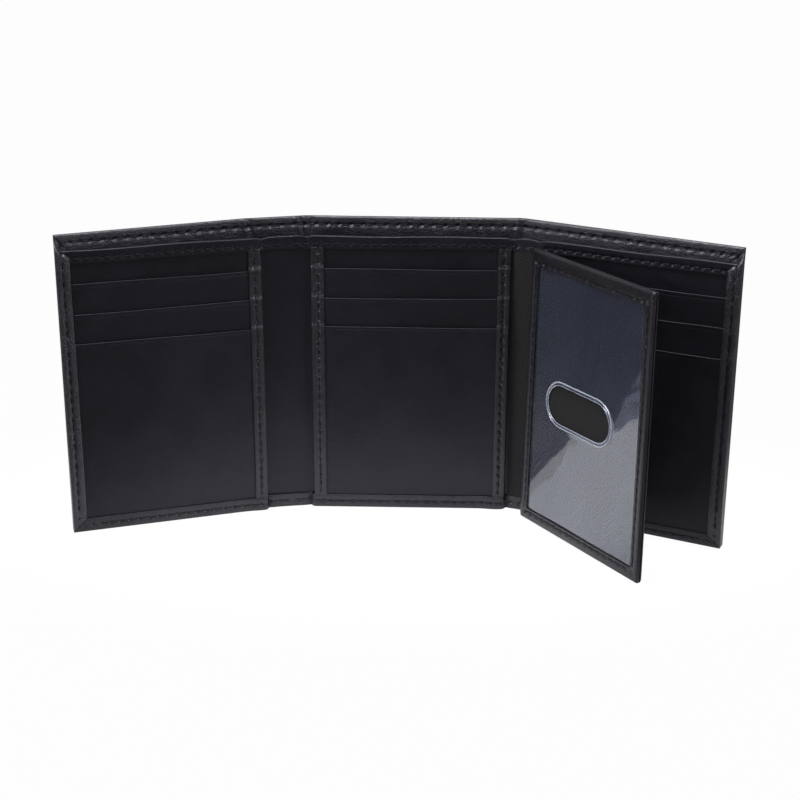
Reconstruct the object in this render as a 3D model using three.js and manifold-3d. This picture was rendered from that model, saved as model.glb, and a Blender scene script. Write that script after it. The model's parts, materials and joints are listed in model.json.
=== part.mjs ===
// Trifold wallet, standing open on its bottom edge, in millimetres with +Z up.
// The centre panel lies in the XZ plane and its pockets face -Y. Both sides fold towards -Y.
// Each panel is drawn flat, with y = 0 on the front face of its inner leather, and then turned at its crease.

import * as THREE from 'three';
import { mergeVertices } from 'three/addons/utils/BufferGeometryUtils.js';
import Module from 'manifold-3d';

// Overall sizes
const HEIGHT = 108;
const INNER_TOP = 102.7;
const CENTRE_WIDTH = 72.5;
const LEFT_WIDTH = 70.5;
const RIGHT_WIDTH = 71;
const LEFT_SPINE = 15.5;
const RIGHT_SPINE = 9.2;

// How far each crease is folded in the photographed pose, in degrees from flat
const LEFT_SPINE_ANGLE = 10.5;
const LEFT_PANEL_ANGLE = 8.5;
const RIGHT_SPINE_ANGLE = 21;
const RIGHT_PANEL_ANGLE = 4;
const FLAP_ANGLE = 32;

// Thicknesses and the play left between layers
const COVER_LEATHER = 0.9;
const LEATHER = 0.5;
const LEAF_LEATHER = 0.4;
const CLOTH = 0.2;
const FILM = 0.25;
const PLAY = 0.15;

// Bill compartment: closed at its seams, open at its mouth
const SEAM_GAP = 0.3;
const MOUTH_GAP = 5.4;
const SEAM_TOP = 6;

// Turned borders and binding strips
const BOTTOM_BORDER = 5;
const SIDE_BORDER = 4.5;
const TOP_BAND = 9;
const TOP_HEM = 4.5;
const FOLD_WALL = 0.8;
const BINDING_WIDTH = 4.3;
const CREASE_PLAY = 0.15;
const CREASE_SET_BACK = 1;
const CENTRE_LEFT_SET_BACK = 1.8;
const SEWN_IN = 1.1;

// Card pockets, by the height of each leaf's open edge
const LEAF_TOPS = [91, 80.5, 70];
const LEAF_STRIP = 12;
const LEAF_FOOT = 1.3;
const EDGE_GAP = 0.3;

// Page with the card windows
const FLAP_LENGTH = 65;
const FLAP_FOOT = 1;
const FLAP_HEAD = 101;
const FRAME_START = 1.4;
const FRAME_SIDE = 4;
const FRAME_BOTTOM = 4.5;
const FRAME_TOP = 5.5;
const FRAME_LEATHER = 0.45;
const CARD_SPACE = 0.2;
const FLAP_AXIS_OUT = 0.5;
const FLAP_CLEARANCE = 0.3;
const SLOT_CENTRE = [30.5, 48.4];
const SLOT_LENGTH = 31;
const SLOT_HEIGHT = 13.8;
const SLOT_RIM = 1.6;
const RIM_PROUD = 0.25;
const SEWN_UNDER = 0.8;
const HINGE_PLAY = 0.2;

// Levels in front of the inner leather, where a smaller y is nearer the viewer
const pocketBackFront = -(PLAY + CLOTH);
const leafBacks = [0, 1, 2].map((i) => pocketBackFront - PLAY - i * (LEAF_LEATHER + PLAY));
const stackBack = leafBacks[2] - LEAF_LEATHER - PLAY;
const stackFront = stackBack - LEATHER;
const stackHemFront = pocketBackFront - PLAY - LEATHER;
const spineFront = -(PLAY + LEATHER);

// Levels behind the inner leather, before the compartment's gap is added
const billLiningFront = LEATHER + PLAY;
const gapStart = billLiningFront + CLOTH;
const coverStart = CLOTH + PLAY;

// Depth of the page and of its layers, measured from its middle
const coreFront = -CLOTH / 2;
const windowBack = coreFront - CARD_SPACE;
const windowFront = windowBack - FILM;
const frameBack = windowFront - PLAY;
const frameFront = frameBack - FRAME_LEATHER;
const FLAP_AXIS_PROUD = -stackFront + FLAP_CLEARANCE - frameFront;

const leather = { color: 0x1f1e22, roughness: 0.52, metalness: 0 };
const twill = { color: 0x17171b, roughness: 0.85, metalness: 0 };
const lining = { color: 0x141417, roughness: 0.9, metalness: 0 };
const film = { color: 0x9a9ca6, roughness: 0.12, metalness: 0, transparent: true, opacity: 0.4 };

const wasm = await Module();
wasm.setup();

// A closed mesh as a solid that can be joined or cut
function solid(geometry) {
  const bare = geometry.clone();
  bare.deleteAttribute('normal');
  bare.deleteAttribute('uv');
  const merged = mergeVertices(bare, 1e-4);
  const vertProperties = merged.attributes.position.array;
  const triVerts = new Uint32Array(merged.index.array);
  return new wasm.Manifold(new wasm.Mesh({ numProp: 3, vertProperties, triVerts }));
}

// A solid back as a mesh's geometry
function geometryOf(made) {
  const { vertProperties, triVerts } = made.getMesh();
  const geometry = new THREE.BufferGeometry();
  geometry.setAttribute('position', new THREE.BufferAttribute(vertProperties, 3));
  geometry.setIndex(new THREE.BufferAttribute(triVerts, 1));
  const flat = geometry.toNonIndexed();
  flat.computeVertexNormals();
  return flat;
}

function joined(...geometries) {
  return geometryOf(geometries.map(solid).reduce((sum, next) => sum.add(next)));
}

function less(geometry, cutter) {
  return geometryOf(solid(geometry).subtract(solid(cutter)));
}

const level = (value) => (typeof value === 'function' ? value : () => value);

// A sheet of leather or cloth whose edges run along X and Z. xs and zs are its stations, from low to high.
// front and back give its two faces' y, as a number or as a function of x and z.
function sheet(xs, zs, front, back) {
  const geometry = new THREE.BoxGeometry(1, 1, 1, xs.length - 1, 1, zs.length - 1);
  const at = geometry.attributes.position;
  const frontAt = level(front);
  const backAt = level(back);
  for (let i = 0; i < at.count; i++) {
    const x = xs[Math.round((at.getX(i) + 0.5) * (xs.length - 1))];
    const z = zs[Math.round((at.getZ(i) + 0.5) * (zs.length - 1))];
    const y = at.getY(i) < 0 ? frontAt(x, z) : backAt(x, z);
    at.setXYZ(i, x, y, z);
  }
  geometry.computeVertexNormals();
  return geometry;
}

// Evenly spaced stations from one value to another
function steps(from, to, count) {
  return Array.from({ length: count + 1 }, (_, i) => from + ((to - from) * i) / count);
}

// A flat shape in X and Z, given its thickness from y = front to y = back
function plate(shape, front, back) {
  const geometry = new THREE.ExtrudeGeometry(shape, {
    depth: back - front,
    bevelEnabled: false,
    curveSegments: 10,
  });
  geometry.rotateX(Math.PI / 2);
  geometry.translate(0, back, 0);
  return geometry;
}

function rectangle(x0, x1, z0, z1) {
  return new THREE.Shape([
    new THREE.Vector2(x0, z0),
    new THREE.Vector2(x1, z0),
    new THREE.Vector2(x1, z1),
    new THREE.Vector2(x0, z1),
  ]);
}

// A thumb slot's outline: two straight sides with round ends
function slotOutline(length, height) {
  const r = height / 2;
  const reach = length / 2 - r;
  const [x, z] = SLOT_CENTRE;
  const shape = new THREE.Shape();
  shape.absarc(x + reach, z, r, -Math.PI / 2, Math.PI / 2, false);
  shape.absarc(x - reach, z, r, Math.PI / 2, (3 * Math.PI) / 2, false);
  shape.closePath();
  return shape;
}

function piece(group, name, geometry, finish) {
  const mesh = new THREE.Mesh(geometry, new THREE.MeshStandardMaterial(finish));
  mesh.name = name;
  group.add(mesh);
}

// How far the bill compartment gapes at a height, in the middle of the wallet
function gape(z) {
  const t = THREE.MathUtils.clamp((z - SEAM_TOP) / (HEIGHT - SEAM_TOP), 0, 1);
  return SEAM_GAP + (MOUTH_GAP - SEAM_GAP) * (1 - (1 - t) * (1 - t));
}

// Each section runs from its crease at u = 0 to its far edge at u = width, towards side = 1 or -1 along X.
// The outer panels' compartment closes evenly towards the outer edge.
function sectionOf({ width, side, outer = false, start = 0 }) {
  const across = (u0, u1) => [u0, u1].map((u) => side * u + start).sort((a, b) => a - b);
  const gapAt = (x, z) => {
    const share = outer ? 1 - Math.abs(x - start) / width : 1;
    return SEAM_GAP + (gape(z) - SEAM_GAP) * share;
  };
  return { width, side, outer, start, across, gapAt };
}

// Stations along an outer panel, where the compartment narrows
const OUTER_COLUMNS = 6;

const HEIGHTS = [0, SEAM_TOP, 22, 40, 60, 80, HEIGHT - TOP_BAND, HEIGHT];

// Height stations between two limits
const heights = (z0, z1) => [z0, ...HEIGHTS.filter((z) => z > z0 + 1 && z < z1 - 1), z1];

// The strip that holds the leaves' edges steps down in depth above each leaf
function stripBack(z) {
  const passed = LEAF_TOPS.filter((top) => z > top).length;
  return stackBack + passed * (LEAF_LEATHER + PLAY);
}

const STRIP_STATIONS = LEAF_TOPS.slice().reverse().flatMap((top) => [top, top + 1.5]);

// Outer leather: the back sheet, its top turned to the inside, and its bottom and outer edges turned to the front
function cover(section, front, setBacks) {
  const { width, outer, across, gapAt } = section;
  const far = outer ? width : width - CREASE_PLAY;
  const xs = steps(...across(CREASE_PLAY, far), outer ? OUTER_COLUMNS : 1);
  const back = (x, z) => gapStart + gapAt(x, z) + coverStart + COVER_LEATHER;
  const inside = (x, z) => back(x, z) - COVER_LEATHER;
  const wallBack = gapStart + SEAM_GAP + coverStart + COVER_LEATHER / 2;
  const hemBack = front + LEATHER;
  const band = across(CREASE_PLAY, outer ? width - FOLD_WALL / 2 : far);
  const border = across(setBacks[0], outer ? width : width - setBacks[1]);
  const parts = [
    sheet(xs, HEIGHTS, inside, back),
    sheet(steps(...band, outer ? OUTER_COLUMNS : 1), [HEIGHT - TOP_BAND, HEIGHT],
      (x, z) => inside(x, z) - LEATHER, (x, z) => inside(x, z) + COVER_LEATHER / 2),
    sheet(border, [0, FOLD_WALL], front, wallBack),
    sheet(border, [0, BOTTOM_BORDER], front, hemBack),
  ];
  if (outer) {
    const hem = across(width - SIDE_BORDER, width);
    const wall = across(width - FOLD_WALL, width);
    const zs = [0, ...STRIP_STATIONS, HEIGHT];
    const sideBack = (x, z) => Math.min(stripBack(z), stackHemFront - PLAY);
    const sideFront = (x, z) => sideBack(x, z) - LEATHER;
    parts.push(sheet(hem, zs, sideFront, sideBack));
    parts.push(sheet(wall, zs, sideFront, wallBack));
  }
  return joined(...parts);
}

// Inner leather: the front wall of the bill compartment, its top edge turned to the front
function innerPanel(section, hemFront, setBacks) {
  const { width, outer, across } = section;
  const far = outer ? width - SEWN_IN : width - CREASE_PLAY;
  const hem = across(setBacks[0], outer ? far : width - setBacks[1]);
  return joined(
    sheet(across(CREASE_PLAY, far), [SEWN_IN, INNER_TOP], 0, LEATHER),
    sheet(hem, [INNER_TOP - FOLD_WALL, INNER_TOP], hemFront, LEATHER / 2),
    sheet(hem, [INNER_TOP - TOP_HEM, INNER_TOP], hemFront, hemFront + LEATHER),
  );
}

// The cover, both linings and the inner leather of one section
function shell(group, name, section, borderFront, hemFront, setBacks) {
  const { width, outer, across, gapAt } = section;
  const far = outer ? width - SEWN_IN : width - CREASE_PLAY;
  const xs = steps(...across(CREASE_PLAY, far), outer ? OUTER_COLUMNS : 1);
  const liningTop = HEIGHT - TOP_BAND - EDGE_GAP;
  const liningFront = (x, z) => gapStart + gapAt(x, z);
  piece(group, `${name}_cover`, cover(section, borderFront, setBacks), leather);
  piece(group, `${name}_cover_lining`,
    sheet(xs, heights(SEWN_IN, liningTop), liningFront, (x, z) => liningFront(x, z) + CLOTH), lining);
  piece(group, `${name}_inner_panel`, innerPanel(section, hemFront, setBacks), leather);
  piece(group, `${name}_inner_lining`,
    sheet(across(CREASE_PLAY, far), [SEWN_IN, INNER_TOP - 1], billLiningFront, gapStart), lining);
}

// One stack of card pockets between two set-backs, with its back, leaves and hanging cloths
function cardStack(group, name, [x0, x1]) {
  const hemFoot = INNER_TOP - FOLD_WALL - EDGE_GAP;
  piece(group, `${name}_pocket_back`, sheet([x0, x1], [LEAF_FOOT, hemFoot], pocketBackFront, -PLAY), leather);
  const words = ['upper', 'middle'];
  for (let i = 0; i < words.length; i++) {
    const back = leafBacks[i];
    const foot = LEAF_TOPS[i] - LEAF_STRIP;
    piece(group, `${name}_${words[i]}_leaf`,
      sheet([x0, x1], [foot, LEAF_TOPS[i]], back - LEAF_LEATHER, back), leather);
    piece(group, `${name}_${words[i]}_leaf_cloth`,
      sheet([x0, x1], [LEAF_FOOT, foot - EDGE_GAP], back - CLOTH, back), lining);
  }
  piece(group, `${name}_front_leaf`,
    sheet([x0, x1], [LEAF_FOOT, LEAF_TOPS[2]], leafBacks[2] - LEAF_LEATHER, leafBacks[2]), leather);
}

// Narrow strip sewn over the leaves' edges next to a crease
function binding(group, name, xs) {
  const zs = [BOTTOM_BORDER + EDGE_GAP, ...STRIP_STATIONS, INNER_TOP - TOP_HEM - EDGE_GAP];
  const back = (x, z) => stripBack(z);
  piece(group, name, sheet(xs, zs, (x, z) => back(x, z) - LEATHER, back), leather);
}

// Centre panel
function centrePanel() {
  const group = new THREE.Group();
  const half = CENTRE_WIDTH / 2;
  const section = sectionOf({ width: CENTRE_WIDTH, side: 1, start: -half });
  const x0 = CENTRE_LEFT_SET_BACK - half;
  const x1 = half - CREASE_SET_BACK;
  shell(group, 'centre', section, stackFront, stackHemFront, [CREASE_SET_BACK, CREASE_SET_BACK]);
  cardStack(group, 'centre', [x0, x1]);
  binding(group, 'centre_left_binding', [x0, x0 + BINDING_WIDTH]);
  binding(group, 'centre_right_binding', [x1 - BINDING_WIDTH, x1]);
  return group;
}

// Left or right panel, drawn from its crease outwards
function sidePanel(name, width, side) {
  const group = new THREE.Group();
  const section = sectionOf({ width, side, outer: true });
  shell(group, name, section, stackFront, stackHemFront, [CREASE_SET_BACK, 0]);
  cardStack(group, name, section.across(CREASE_SET_BACK, width - SEWN_IN));
  binding(group, `${name}_binding`, section.across(CREASE_SET_BACK, CREASE_SET_BACK + BINDING_WIDTH));
  return group;
}

// The plain strip between two panels, which folds at both its edges
function spine(name, width, side) {
  const group = new THREE.Group();
  const section = sectionOf({ width, side });
  shell(group, name, section, spineFront, spineFront, [CREASE_SET_BACK, CREASE_SET_BACK]);
  return group;
}

// Clear window with a welded rim round its thumb slot, on one face of the page: face = -1 in front, 1 behind
function cardWindow(outline, face) {
  const layer = (shape, near, far) => {
    const [front, back] = [-face * near, -face * far].sort((a, b) => a - b);
    return plate(shape, front, back);
  };
  const hole = slotOutline(SLOT_LENGTH, SLOT_HEIGHT);
  const rim = slotOutline(SLOT_LENGTH + 2 * SLOT_RIM, SLOT_HEIGHT + 2 * SLOT_RIM);
  const whole = joined(
    layer(outline, windowFront, windowBack),
    layer(rim, windowFront - RIM_PROUD, windowBack - FILM / 2),
  );
  return less(whole, layer(hole, windowFront - 2 * RIM_PROUD, windowBack + FILM / 2));
}

// Page with a card window on each face, drawn from its hinge towards +X
function windowPage() {
  const group = new THREE.Group();
  const frame = rectangle(FRAME_START, FLAP_LENGTH, FLAP_FOOT, FLAP_HEAD);
  frame.holes.push(rectangle(FRAME_START + FRAME_SIDE, FLAP_LENGTH - FRAME_SIDE,
    FLAP_FOOT + FRAME_BOTTOM, FLAP_HEAD - FRAME_TOP));
  const sewn = (start) => rectangle(start, FLAP_LENGTH - SEWN_UNDER,
    FLAP_FOOT + SEWN_UNDER, FLAP_HEAD - SEWN_UNDER);
  const pane = sewn(FRAME_START + SEWN_UNDER);
  piece(group, 'flap_front_frame', plate(frame, frameFront, frameBack), leather);
  piece(group, 'flap_front_window', cardWindow(pane, -1), film);
  piece(group, 'flap_twill_divider', plate(sewn(HINGE_PLAY), coreFront, -coreFront), twill);
  piece(group, 'flap_back_window', cardWindow(pane, 1), film);
  piece(group, 'flap_back_frame', plate(frame, -frameBack, -frameFront), leather);
  return group;
}

const wallet = centrePanel();

const leftSpine = spine('left_spine', LEFT_SPINE, -1);
leftSpine.position.set(-CENTRE_WIDTH / 2, 0, 0);
leftSpine.rotation.z = THREE.MathUtils.degToRad(LEFT_SPINE_ANGLE);
wallet.add(leftSpine);

const leftPanel = sidePanel('left', LEFT_WIDTH, -1);
leftPanel.position.set(-LEFT_SPINE, 0, 0);
leftPanel.rotation.z = THREE.MathUtils.degToRad(LEFT_PANEL_ANGLE);
leftSpine.add(leftPanel);

const rightSpine = spine('right_spine', RIGHT_SPINE, 1);
rightSpine.position.set(CENTRE_WIDTH / 2, 0, 0);
rightSpine.rotation.z = -THREE.MathUtils.degToRad(RIGHT_SPINE_ANGLE);
wallet.add(rightSpine);

// Twill strip that faces the narrow spine, between the centre pockets and the page
const twillEdges = [CREASE_SET_BACK, RIGHT_SPINE - CREASE_SET_BACK];
const twillHeight = [BOTTOM_BORDER + EDGE_GAP, INNER_TOP - TOP_HEM - EDGE_GAP];
piece(rightSpine, 'right_spine_twill', sheet(twillEdges, twillHeight, -(PLAY + CLOTH), -PLAY), twill);

const rightPanel = sidePanel('right', RIGHT_WIDTH, 1);
rightPanel.position.set(RIGHT_SPINE, 0, 0);
rightPanel.rotation.z = -THREE.MathUtils.degToRad(RIGHT_PANEL_ANGLE);
rightSpine.add(rightPanel);

// Twill tape that the page hangs from, standing on the right panel beside its pockets
const tapeEdges = [FLAP_AXIS_OUT - CLOTH / 2, FLAP_AXIS_OUT + CLOTH / 2];
piece(rightPanel, 'flap_hinge_tape',
  sheet(tapeEdges, twillHeight, HINGE_PLAY - FLAP_AXIS_PROUD, -PLAY), twill);

const flap = windowPage();
flap.position.set(FLAP_AXIS_OUT, -FLAP_AXIS_PROUD, 0);
flap.rotation.z = -THREE.MathUtils.degToRad(FLAP_ANGLE);
rightPanel.add(flap);

export default wallet;
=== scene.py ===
import json
import math

import bmesh
import bpy
from mathutils import Matrix, Vector
from mathutils.kdtree import KDTree


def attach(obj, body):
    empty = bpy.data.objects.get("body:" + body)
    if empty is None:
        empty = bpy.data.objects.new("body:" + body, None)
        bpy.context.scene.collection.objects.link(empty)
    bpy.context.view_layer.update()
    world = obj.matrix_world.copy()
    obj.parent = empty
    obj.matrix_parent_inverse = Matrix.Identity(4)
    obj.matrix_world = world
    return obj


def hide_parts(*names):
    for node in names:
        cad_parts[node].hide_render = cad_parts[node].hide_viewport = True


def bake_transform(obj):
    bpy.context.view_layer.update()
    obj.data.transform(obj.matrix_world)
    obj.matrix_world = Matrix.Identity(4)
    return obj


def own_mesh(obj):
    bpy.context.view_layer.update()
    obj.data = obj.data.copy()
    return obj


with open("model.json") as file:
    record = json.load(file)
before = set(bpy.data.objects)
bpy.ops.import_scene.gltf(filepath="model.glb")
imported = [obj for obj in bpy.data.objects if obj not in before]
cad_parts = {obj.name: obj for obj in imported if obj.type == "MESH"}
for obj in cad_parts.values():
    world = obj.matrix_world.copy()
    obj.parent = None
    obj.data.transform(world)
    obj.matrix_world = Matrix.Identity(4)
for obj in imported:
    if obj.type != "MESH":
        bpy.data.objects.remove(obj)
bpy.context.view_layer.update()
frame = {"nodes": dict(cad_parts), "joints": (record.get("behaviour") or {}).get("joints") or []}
scene = bpy.context.scene
MM = 0.001

# Camera
# It stands half a metre in front of the pockets with a long lens and looks 20 degrees down.
# The photograph's own slight turn and tilt are kept.
CAMERA_PLACE = Vector((9.96, -521.2, 233.4)) * MM
LOOK_DOWN = 20.18
LOOK_LEFT = 1.455
CAMERA_TILT = 0.197
LENS = 68.97

camera_data = bpy.data.cameras.new("camera")
camera_data.lens = LENS
camera = bpy.data.objects.new("camera", camera_data)
camera.matrix_world = (
    Matrix.Translation(CAMERA_PLACE)
    @ Matrix.Rotation(math.radians(LOOK_LEFT), 4, "Z")
    @ Matrix.Rotation(math.radians(90 - LOOK_DOWN), 4, "X")
    @ Matrix.Rotation(math.radians(CAMERA_TILT), 4, "Z")
)
scene.collection.objects.link(camera)
scene.camera = camera

# Light
# A wide soft light hangs over the wallet, and one stands at each side, a little in front of it.
# The world gives an even dim light, and shows as white only where it is looked at.
scene.view_settings.view_transform = "Standard"


def soft_light(name, place, aim, size, watts):
    """A square area light that looks from its place to the point that it is aimed at."""
    data = bpy.data.lights.new(name, "AREA")
    data.size = size
    data.energy = watts
    light = bpy.data.objects.new(name, data)
    light.location = place
    light.rotation_euler = (Vector(aim) - Vector(place)).to_track_quat("-Z", "Y").to_euler()
    scene.collection.objects.link(light)


soft_light("overhead_light", place=(-0.1, -0.2, 0.95), aim=(0, 0, 0), size=0.6, watts=12)
soft_light("left_light", place=(-0.9, -0.5, 0.5), aim=(0, 0, 0.05), size=0.45, watts=5)
soft_light("right_light", place=(0.9, -0.6, 0.5), aim=(0, 0, 0.05), size=0.45, watts=4)

AMBIENT = 0.15


def math_node(tree, operation, first, second=None, third=None):
    """The result of a sum on numbers and sockets."""
    node = tree.nodes.new("ShaderNodeMath")
    node.operation = operation
    for socket, value in zip(node.inputs, (first, second, third)):
        if isinstance(value, (int, float)):
            socket.default_value = value
        elif value is not None:
            tree.links.new(value, socket)
    return node.outputs[0]


def seen_directly(tree):
    """A mask that is 1 where a thing is looked at, straight or through the clear film."""
    path = tree.nodes.new("ShaderNodeLightPath")
    return math_node(tree, "MAXIMUM", path.outputs["Is Camera Ray"], path.outputs["Is Transmission Ray"])


world = bpy.data.worlds.new("studio")
scene.world = world
world.use_nodes = True
air = world.node_tree
air.nodes.clear()
air_out = air.nodes.new("ShaderNodeOutputWorld")
air_mix = air.nodes.new("ShaderNodeMixShader")
air.links.new(seen_directly(air), air_mix.inputs["Fac"])
for air_socket, tone in ((air_mix.inputs[1], AMBIENT), (air_mix.inputs[2], 1.0)):
    air_tone = air.nodes.new("ShaderNodeBackground")
    air_tone.inputs["Color"].default_value = (tone, tone, tone, 1)
    air.links.new(air_tone.outputs[0], air_socket)
air.links.new(air_mix.outputs[0], air_out.inputs["Surface"])

# Floor
# The floor's colour is a painted pool of light, bright close to the wallet and dim further out, and that is
# what the leather mirrors. Seen directly, the floor is all but white everywhere and keeps a faint shadow.
FLOOR_SIZE = 3.0
# Painted pool of light: the floor's colour close to the wallet and further out.
POOL_LIT_TONE = 0.85
POOL_DIM_TONE = 0.10
FLOOR_GLOW = 0.96
FLOOR_BRIGHT = 1.02
BRIGHT_REACH = 0.035
DIM_REACH = 0.115
BRIGHT_SHAPE = (0.55, 1, 1)


def spread(tree, value, low, high, new_low, new_high, way="LINEAR"):
    """A value moved from one range to another."""
    node = tree.nodes.new("ShaderNodeMapRange")
    node.interpolation_type = way
    for label, number in (("From Min", low), ("From Max", high), ("To Min", new_low), ("To Max", new_high)):
        node.inputs[label].default_value = number
    tree.links.new(value, node.inputs["Value"])
    return node.outputs["Result"]


floor_mesh = bmesh.new()
bmesh.ops.create_grid(floor_mesh, x_segments=1, y_segments=1, size=FLOOR_SIZE)
floor_data = bpy.data.meshes.new("floor")
floor_mesh.to_mesh(floor_data)
floor_mesh.free()
floor = bpy.data.objects.new("floor", floor_data)
scene.collection.objects.link(floor)

paper = bpy.data.materials.new("floor_painted_light_pool")
floor_data.materials.append(paper)
paper.use_nodes = True
paper_tree = paper.node_tree
paper_tree.nodes.clear()
paper_place = paper_tree.nodes.new("ShaderNodeTexCoord")
paper_spot = paper_tree.nodes.new("ShaderNodeMapping")
paper_spot.inputs["Scale"].default_value = BRIGHT_SHAPE
paper_tree.links.new(paper_place.outputs["Object"], paper_spot.inputs["Vector"])
paper_away = paper_tree.nodes.new("ShaderNodeVectorMath")
paper_away.operation = "LENGTH"
paper_tree.links.new(paper_spot.outputs["Vector"], paper_away.inputs[0])
# Painted pool of light: the floor's colour fades from bright near the wallet to dim further out.
painted_pool_tone = spread(paper_tree, paper_away.outputs["Value"], BRIGHT_REACH, DIM_REACH, POOL_LIT_TONE, POOL_DIM_TONE,
                    "SMOOTHSTEP")
paper_lit = paper_tree.nodes.new("ShaderNodeBsdfDiffuse")
paper_tree.links.new(painted_pool_tone, paper_lit.inputs["Color"])
paper_glow = paper_tree.nodes.new("ShaderNodeEmission")
paper_glow.inputs["Strength"].default_value = FLOOR_BRIGHT
paper_mix = paper_tree.nodes.new("ShaderNodeMixShader")
paper_share = math_node(paper_tree, "MULTIPLY", seen_directly(paper_tree), FLOOR_GLOW)
paper_tree.links.new(paper_share, paper_mix.inputs["Fac"])
paper_tree.links.new(paper_lit.outputs[0], paper_mix.inputs[1])
paper_tree.links.new(paper_glow.outputs[0], paper_mix.inputs[2])
paper_out = paper_tree.nodes.new("ShaderNodeOutputMaterial")
paper_tree.links.new(paper_mix.outputs[0], paper_out.inputs["Surface"])

# Inner leather
# One long strip of smooth leather is the front wall of the bill compartment, with its top edge turned to
# the front. It bends at four creases. It is made here in four lengths that meet in the middle of the
# spines and of the centre.
HEIGHT = 108 * MM
INNER_TOP = 102.7 * MM
LEFT_PANEL = 70.5 * MM
RIGHT_PANEL = 71 * MM
SEWN_IN = 1.1 * MM
HEM = 4.5 * MM
HEM_SEAM = 2.8 * MM
PITCH = 3.45 * MM
GROOVE_DEPTH = 0.10 * MM
GROOVE_WIDTH = 0.55 * MM
HOLE_DEPTH = 0.36 * MM
HOLE_WIDTH = 0.5 * MM
HOLE_SLANT = 0.5
CREASE_SOFT = 1.6 * MM

joints = {joint["name"]: joint for joint in frame["joints"]}


def ease(share):
    """A share from 0 to 1 that starts and ends gently."""
    share = min(max(share, 0), 1)
    return share * share * (3 - 2 * share)


def crease_point(name):
    """Where the axis of a crease or hinge stands on the floor."""
    x, y, _ = joints[name]["pos_m"]
    return Vector((x, y, 0))


def rest_fold(name):
    """The angle by which a crease is folded as the wallet stands."""
    return math.radians(-joints[name]["range_deg"][0])


centre_half = crease_point("right_inner_crease").x
left_outer = centre_half + (crease_point("left_outer_crease") - crease_point("left_inner_crease")).length
right_outer = centre_half + (crease_point("right_outer_crease") - crease_point("right_inner_crease")).length
left_end = left_outer + LEFT_PANEL
right_end = right_outer + RIGHT_PANEL
creases = {
    -1: [(left_outer, rest_fold("left_outer_crease")), (centre_half, rest_fold("left_inner_crease"))],
    1: [(right_outer, rest_fold("right_outer_crease")), (centre_half, rest_fold("right_inner_crease"))],
}


def place(s, y, z):
    """From the flat wallet to the standing one: s runs along it from the middle of the centre panel,
    y goes back from the front face of the inner leather, and z goes up."""
    side = -1 if s < 0 else 1
    point = Vector((s, y, z))
    for at, fold in creases[side]:
        share = ease((abs(s) - at + CREASE_SOFT) / (2 * CREASE_SOFT))
        pivot = Vector((side * at, 0, 0))
        point = pivot + Matrix.Rotation(-side * fold * share, 3, "Z") @ (point - pivot)
    return point


def follow(marks, points, t, soft, samples=7):
    """The point at t on a line that reaches each of its points at a mark, with its corners rounded."""
    total = Vector([0.0] * len(points[0]))
    for k in range(samples):
        at = t + soft * ((2 * k + 1) / samples - 1)
        i = 0
        while i < len(marks) - 2 and at > marks[i + 1]:
            i += 1
        share = (at - marks[i]) / (marks[i + 1] - marks[i])
        total += Vector(points[i]).lerp(Vector(points[i + 1]), share)
    return total / samples


def stations(*stretches):
    """Even steps through stretches of (start, end, step), each joined to the next."""
    found = []
    for start, end, step in stretches:
        count = max(1, round(abs(end - start) / step))
        found += [start + (end - start) * k / count for k in range(count)]
    return found + [stretches[-1][1]]


def seam_dent(away, run, pitch=PITCH):
    """How far thread pulls leather in, at a distance from a seam and at a run along it. It is deepest at
    the holes, which slant."""
    near = run - pitch * round(run / pitch)
    across_hole = (near / HOLE_WIDTH) ** 2 + ((away + HOLE_SLANT * near) / HOLE_WIDTH) ** 2
    return GROOVE_DEPTH * math.exp(-((away / GROOVE_WIDTH) ** 2)) + HOLE_DEPTH * math.exp(-across_hole)


def soften(mesh, rims, width):
    """Bevels the rims, and draws in any corner that the bevel has thrown out."""
    known = KDTree(len(mesh.verts))
    for i, v in enumerate(mesh.verts):
        known.insert(v.co, i)
    known.balance()
    made = bmesh.ops.bevel(mesh, geom=rims, offset=width, segments=2, profile=0.5, affect="EDGES",
                           material=-1)
    for v in made["verts"]:
        nearest, _, away = known.find(v.co)
        if away > 2 * width:
            v.co = nearest


RIM_ANGLE = 1.1
SHARP_ANGLE = 0.9
MOST_THICKENED = 1.3


def behind(v, front):
    """The corners of a sheet's back face that are joined to one of its front face."""
    return [e.other_vert(v) for e in v.link_edges if e.other_vert(v) not in front]


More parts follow.
